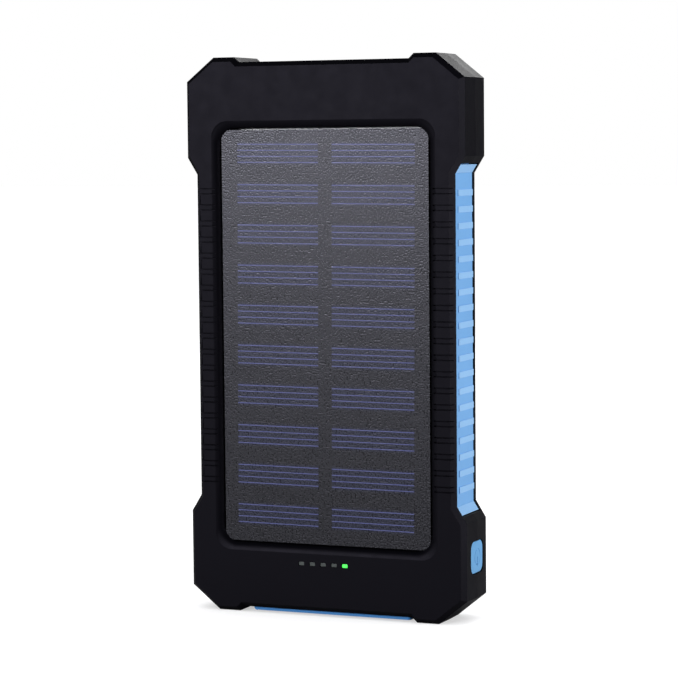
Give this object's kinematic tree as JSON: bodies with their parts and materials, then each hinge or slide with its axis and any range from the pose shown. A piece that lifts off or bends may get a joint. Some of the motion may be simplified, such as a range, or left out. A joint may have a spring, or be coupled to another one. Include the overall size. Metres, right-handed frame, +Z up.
{
  "type": "solar phone charger",
  "caption": "Pocket solar phone charger with corner bumpers: black covers, ribbed blue waist frame, front solar panel, USB sockets under a rubber flap, indicator lights, side button and torch.",
  "frame": {"origin": "middle of the case's footprint, on the surface that its lower corner bumpers stand on", "axes": "+X to the right as seen from the front, where the power button is; +Y from the solar panel to the back; +Z up the case, away from the sockets"},
  "size_m": [0.075, 0.0164, 0.14],
  "materials": {
    "cover_black": "soft-touch rubberised black",
    "frame_blue": "satin light blue plastic",
    "rubber_blue": "moulded blue silicone rubber",
    "panel_laminate": "frosted clear PET over dark film",
    "solar_cell": "dark blue-violet silicon",
    "panel_board": "black solder mask",
    "circuit_board": "green solder mask",
    "plated_steel": "nickel plated",
    "contact_gold": "gold flash",
    "white_plastic": "moulded",
    "black_plastic": "moulded",
    "ferrite": "sintered, bare",
    "battery_foil": "embossed laminate foil",
    "foam_tape": "closed-cell foam",
    "red_wire": "silicone insulation",
    "black_wire": "silicone insulation",
    "clear_plastic": "clear polycarbonate",
    "reflector_chrome": "vacuum metallised",
    "led_green": "lit indicator"
  },
  "bodies": {
    "case": {"front_cover": "cover_black", "rear_cover": "cover_black", "mid_frame": "frame_blue", "panel_laminate": "panel_laminate", "cell_string_left": "solar_cell", "cell_string_right": "solar_cell", "solar_board": "panel_board", "panel_tape": "foam_tape", "light_guide": "clear_plastic", "indicator_led_1": "white_plastic", "indicator_led_2": "white_plastic", "indicator_led_3": "white_plastic", "indicator_led_4": "white_plastic", "indicator_led_5": "led_green", "main_board": "circuit_board", "power_inductor": "ferrite", "charge_chip": "black_plastic", "boost_chip": "black_plastic", "indicator_chip": "black_plastic", "input_capacitor": "white_plastic", "output_capacitor": "white_plastic", "usb_shell_left": "plated_steel", "usb_shell_right": "plated_steel", "usb_tongue_left": "white_plastic", "usb_tongue_right": "white_plastic", "usb_contact_left_1": "contact_gold", "usb_contact_left_2": "contact_gold", "usb_contact_left_3": "contact_gold", "usb_contact_left_4": "contact_gold", "usb_contact_right_1": "contact_gold", "usb_contact_right_2": "contact_gold", "usb_contact_right_3": "contact_gold", "usb_contact_right_4": "contact_gold", "micro_usb_shell": "plated_steel", "micro_usb_tongue": "black_plastic", "cover_anchor": "rubber_blue", "switch_body": "black_plastic", "battery_cell": "battery_foil", "battery_foam": "foam_tape", "protection_board": "circuit_board", "battery_tab_left": "plated_steel", "battery_tab_right": "plated_steel", "battery_lead_red": "red_wire", "battery_lead_black": "black_wire", "panel_lead_red": "red_wire", "panel_lead_black": "black_wire", "torch_led_lower": "clear_plastic", "torch_led_upper": "clear_plastic", "torch_reflector": "reflector_chrome", "torch_lens": "clear_plastic", "case_screw_1": "plated_steel", "case_screw_2": "plated_steel", "case_screw_3": "plated_steel", "case_screw_4": "plated_steel", "board_screw_left": "plated_steel", "board_screw_right": "plated_steel"},
    "power_button": {"power_button": "rubber_blue"},
    "switch_plunger": {"switch_plunger": "white_plastic"},
    "port_cover": {"port_cover": "rubber_blue"}
  },
  "joints": [
    {"name": "power_button_press", "type": "slide", "parent": "case", "child": "power_button", "axis": [-1, 0, 0], "range_m": [0, 0.0005], "stiffness_N_per_m": 3000},
    {"name": "switch_plunger_press", "type": "slide", "parent": "case", "child": "switch_plunger", "axis": [-1, 0, 0], "range_m": [0, 0.0005]},
    {"name": "port_cover_hinge", "type": "hinge", "parent": "case", "child": "port_cover", "pos_m": [-0.0199, 0, 0.00105], "axis": [0, 1, 0], "range_deg": [0, 110]}
  ],
  "couplings": [
    {"joint": "switch_plunger_press", "follows": "power_button_press", "ratio": 1}
  ]
}
